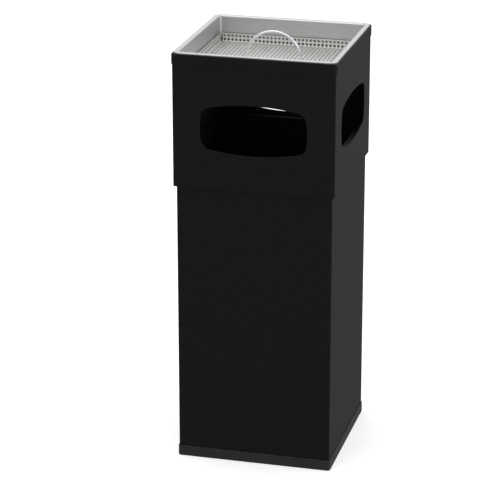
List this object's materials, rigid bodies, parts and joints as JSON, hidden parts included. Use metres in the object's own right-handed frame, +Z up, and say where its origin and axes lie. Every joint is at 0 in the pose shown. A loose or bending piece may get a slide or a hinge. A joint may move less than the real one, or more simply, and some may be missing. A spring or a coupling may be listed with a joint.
{
  "type": "ashtray bin",
  "caption": "Free-standing square litter bin with a lift-off hood open on three sides, topped by a lift-out ash tray with a perforated sieve and wire handle.",
  "frame": {"origin": "centre of the footprint, on the ground", "axes": "+Z up, +X to the right seen from the front, -Y out of the front face"},
  "size_m": [0.24, 0.24, 0.6303],
  "materials": {
    "black_paint": "satin powder coat",
    "black_plastic": "moulded, satin",
    "galvanised_steel": "galvanised",
    "satin_steel": "satin",
    "perforated_steel": "satin, perforated",
    "rivet_steel": "plain",
    "bright_wire": "bright drawn wire"
  },
  "bodies": {
    "body": {"body_shell": "black_paint", "body_floor": "black_paint", "base_ring": "black_plastic", "base_rivets": "black_plastic"},
    "liner": {"liner_shell": "galvanised_steel", "liner_floor": "galvanised_steel", "left_liner_ear": "galvanised_steel", "right_liner_ear": "galvanised_steel", "liner_ear_rivets": "rivet_steel"},
    "bail": {"liner_bail": "bright_wire"},
    "hood": {"hood_shell": "black_paint", "top_band": "black_paint", "front_ledge": "black_paint", "right_ledge": "black_paint", "back_ledge": "black_paint", "left_ledge": "black_paint"},
    "tray": {"ash_tray": "satin_steel"},
    "sieve_basket": {"sieve": "perforated_steel", "sieve_handle": "bright_wire"}
  },
  "joints": [
    {"name": "liner_lift", "type": "slide", "parent": "body", "child": "liner", "axis": [0, 0, 1], "range_m": [0, 0.475]},
    {"name": "bail_swing", "type": "hinge", "parent": "liner", "child": "bail", "pos_m": [0, 0, 0.3959], "axis": [1, 0, 0], "range_deg": [0, 180]},
    {"name": "hood_lift", "type": "slide", "parent": "liner", "child": "hood", "axis": [0, 0, 1], "range_m": [0, 0.06]},
    {"name": "tray_lift", "type": "slide", "parent": "hood", "child": "tray", "axis": [0, 0, 1], "range_m": [0, 0.05]},
    {"name": "sieve_lift", "type": "slide", "parent": "tray", "child": "sieve_basket", "axis": [0, 0, 1], "range_m": [0, 0.05]}
  ]
}
